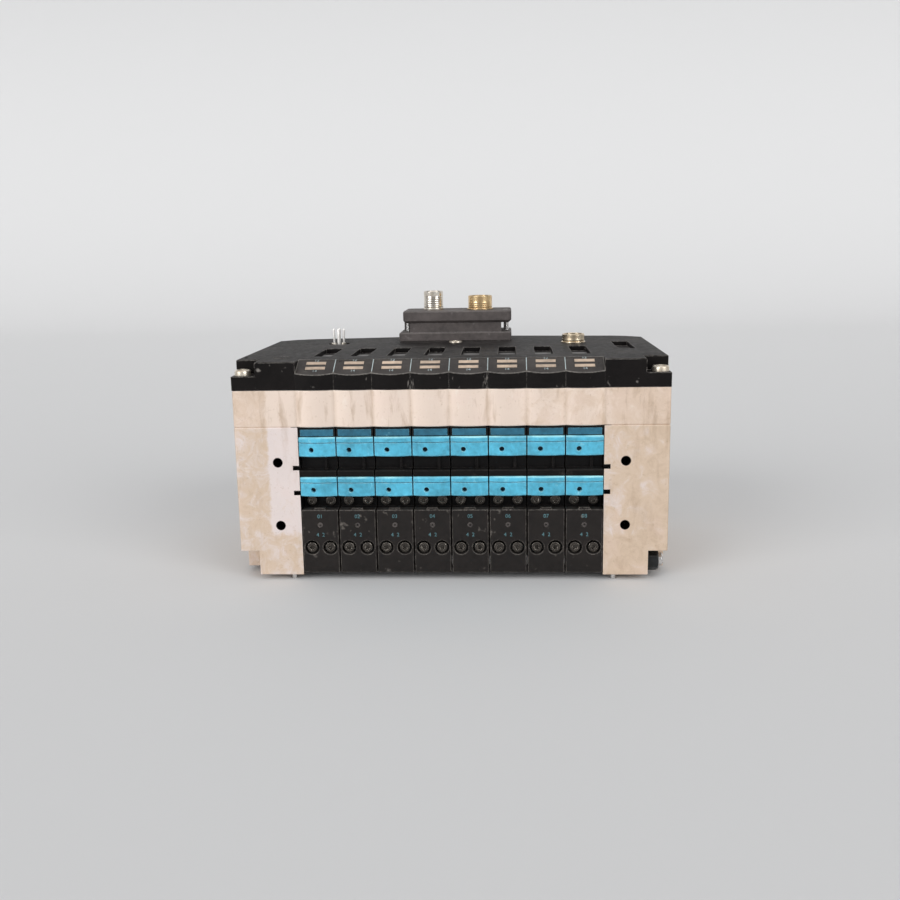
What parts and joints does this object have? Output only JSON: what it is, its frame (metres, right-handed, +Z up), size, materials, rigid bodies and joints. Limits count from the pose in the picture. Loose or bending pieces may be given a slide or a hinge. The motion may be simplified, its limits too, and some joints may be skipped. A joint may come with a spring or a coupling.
{
  "type": "pneumatic valve island",
  "caption": "Compact row of solenoid valve slices between cast end plates, with an electronics housing, sloped light field and plug-on bus adapter on top.",
  "frame": {"origin": "centre of the bounding box at the level of the pin tips that the island stands on", "axes": "+X along the row of slices, -Y out of the operating face, +Z up"},
  "size_m": [0.2048, 0.1292, 0.1331],
  "materials": {
    "black_casting": "black painted die casting",
    "spool_metal": "ground steel",
    "override_metal": "dulled steel",
    "beige_casting": "bare die casting, stained",
    "dark_housing": "matt black moulding",
    "board_green": "solder mask",
    "black_plastic": "matt black moulding",
    "light_window": "beige diffuser",
    "blue_plastic": "satin blue moulding",
    "dark_steel": "blackened steel, worn",
    "coil_varnish": "varnished winding",
    "gasket_rubber": "flat rubber sheet",
    "bright_steel": "bright steel",
    "black_steel": "blackened steel",
    "nickel_screw": "nickel plate, slightly yellowed",
    "adapter_plastic": "matt dark grey moulding",
    "nickel": "nickel plate",
    "brass": "turned brass",
    "pin_metal": "tinned contact"
  },
  "bodies": {
    "island": {"valve_body_1": "black_casting", "valve_body_2": "black_casting", "valve_body_3": "black_casting", "valve_body_4": "black_casting", "valve_body_5": "black_casting", "valve_body_6": "black_casting", "valve_body_7": "black_casting", "valve_body_8": "black_casting", "left_end_plate": "beige_casting", "right_end_plate": "beige_casting", "metal_frame": "beige_casting", "electronics_housing": "dark_housing", "circuit_board": "board_green", "contact_blocks": "black_plastic", "led_windows": "light_window", "upper_pilot_covers": "blue_plastic", "lower_pilot_covers": "blue_plastic", "front_covers": "black_plastic", "rear_covers": "black_plastic", "cover_screws": "dark_steel", "pilot_screws": "dark_steel", "pilot_coils": "coil_varnish", "slice_gaskets": "gasket_rubber", "tie_rods": "bright_steel", "tie_rod_nuts": "black_steel", "housing_screws": "nickel_screw", "locating_pins": "bright_steel", "adapter_base": "adapter_plastic", "adapter_cap": "adapter_plastic", "adapter_screws": "bright_steel", "bus_in_connector": "nickel", "bus_out_connector": "brass", "extension_ring": "brass", "power_shell_stub": "brass", "connector_inserts": "black_plastic", "contact_pins": "pin_metal"},
    "upper_override_1": {"upper_override_1": "override_metal"},
    "upper_override_2": {"upper_override_2": "override_metal"},
    "upper_override_3": {"upper_override_3": "override_metal"},
    "upper_override_4": {"upper_override_4": "override_metal"},
    "upper_override_5": {"upper_override_5": "override_metal"},
    "upper_override_6": {"upper_override_6": "override_metal"},
    "upper_override_7": {"upper_override_7": "override_metal"},
    "upper_override_8": {"upper_override_8": "override_metal"},
    "lower_override_1": {"lower_override_1": "override_metal"},
    "lower_override_2": {"lower_override_2": "override_metal"},
    "lower_override_3": {"lower_override_3": "override_metal"},
    "lower_override_4": {"lower_override_4": "override_metal"},
    "lower_override_5": {"lower_override_5": "override_metal"},
    "lower_override_6": {"lower_override_6": "override_metal"},
    "lower_override_7": {"lower_override_7": "override_metal"},
    "lower_override_8": {"lower_override_8": "override_metal"},
    "spool_1": {"spool_1": "spool_metal"},
    "spool_2": {"spool_2": "spool_metal"},
    "spool_3": {"spool_3": "spool_metal"},
    "spool_4": {"spool_4": "spool_metal"},
    "spool_5": {"spool_5": "spool_metal"},
    "spool_6": {"spool_6": "spool_metal"},
    "spool_7": {"spool_7": "spool_metal"},
    "spool_8": {"spool_8": "spool_metal"}
  },
  "joints": [
    {"name": "upper_override_1_press", "type": "slide", "parent": "island", "child": "upper_override_1", "axis": [0, 1, 0], "range_m": [0, 0.0012], "stiffness_N_per_m": 900, "springref_m": -0.0012},
    {"name": "upper_override_2_press", "type": "slide", "parent": "island", "child": "upper_override_2", "axis": [0, 1, 0], "range_m": [0, 0.0012], "stiffness_N_per_m": 900, "springref_m": -0.0012},
    {"name": "upper_override_3_press", "type": "slide", "parent": "island", "child": "upper_override_3", "axis": [0, 1, 0], "range_m": [0, 0.0012], "stiffness_N_per_m": 900, "springref_m": -0.0012},
    {"name": "upper_override_4_press", "type": "slide", "parent": "island", "child": "upper_override_4", "axis": [0, 1, 0], "range_m": [0, 0.0012], "stiffness_N_per_m": 900, "springref_m": -0.0012},
    {"name": "upper_override_5_press", "type": "slide", "parent": "island", "child": "upper_override_5", "axis": [0, 1, 0], "range_m": [0, 0.0012], "stiffness_N_per_m": 900, "springref_m": -0.0012},
    {"name": "upper_override_6_press", "type": "slide", "parent": "island", "child": "upper_override_6", "axis": [0, 1, 0], "range_m": [0, 0.0012], "stiffness_N_per_m": 900, "springref_m": -0.0012},
    {"name": "upper_override_7_press", "type": "slide", "parent": "island", "child": "upper_override_7", "axis": [0, 1, 0], "range_m": [0, 0.0012], "stiffness_N_per_m": 900, "springref_m": -0.0012},
    {"name": "upper_override_8_press", "type": "slide", "parent": "island", "child": "upper_override_8", "axis": [0, 1, 0], "range_m": [0, 0.0012], "stiffness_N_per_m": 900, "springref_m": -0.0012},
    {"name": "lower_override_1_press", "type": "slide", "parent": "island", "child": "lower_override_1", "axis": [0, 1, 0], "range_m": [0, 0.0012], "stiffness_N_per_m": 900, "springref_m": -0.0012},
    {"name": "lower_override_2_press", "type": "slide", "parent": "island", "child": "lower_override_2", "axis": [0, 1, 0], "range_m": [0, 0.0012], "stiffness_N_per_m": 900, "springref_m": -0.0012},
    {"name": "lower_override_3_press", "type": "slide", "parent": "island", "child": "lower_override_3", "axis": [0, 1, 0], "range_m": [0, 0.0012], "stiffness_N_per_m": 900, "springref_m": -0.0012},
    {"name": "lower_override_4_press", "type": "slide", "parent": "island", "child": "lower_override_4", "axis": [0, 1, 0], "range_m": [0, 0.0012], "stiffness_N_per_m": 900, "springref_m": -0.0012},
    {"name": "lower_override_5_press", "type": "slide", "parent": "island", "child": "lower_override_5", "axis": [0, 1, 0], "range_m": [0, 0.0012], "stiffness_N_per_m": 900, "springref_m": -0.0012},
    {"name": "lower_override_6_press", "type": "slide", "parent": "island", "child": "lower_override_6", "axis": [0, 1, 0], "range_m": [0, 0.0012], "stiffness_N_per_m": 900, "springref_m": -0.0012},
    {"name": "lower_override_7_press", "type": "slide", "parent": "island", "child": "lower_override_7", "axis": [0, 1, 0], "range_m": [0, 0.0012], "stiffness_N_per_m": 900, "springref_m": -0.0012},
    {"name": "lower_override_8_press", "type": "slide", "parent": "island", "child": "lower_override_8", "axis": [0, 1, 0], "range_m": [0, 0.0012], "stiffness_N_per_m": 900, "springref_m": -0.0012},
    {"name": "spool_1_shift", "type": "slide", "parent": "island", "child": "spool_1", "axis": [0, 1, 0], "range_m": [0, 0.004]},
    {"name": "spool_2_shift", "type": "slide", "parent": "island", "child": "spool_2", "axis": [0, 1, 0], "range_m": [0, 0.004]},
    {"name": "spool_3_shift", "type": "slide", "parent": "island", "child": "spool_3", "axis": [0, 1, 0], "range_m": [0, 0.004]},
    {"name": "spool_4_shift", "type": "slide", "parent": "island", "child": "spool_4", "axis": [0, 1, 0], "range_m": [0, 0.004]},
    {"name": "spool_5_shift", "type": "slide", "parent": "island", "child": "spool_5", "axis": [0, 1, 0], "range_m": [0, 0.004]},
    {"name": "spool_6_shift", "type": "slide", "parent": "island", "child": "spool_6", "axis": [0, 1, 0], "range_m": [0, 0.004]},
    {"name": "spool_7_shift", "type": "slide", "parent": "island", "child": "spool_7", "axis": [0, 1, 0], "range_m": [0, 0.004]},
    {"name": "spool_8_shift", "type": "slide", "parent": "island", "child": "spool_8", "axis": [0, 1, 0], "range_m": [0, 0.004]}
  ]
}
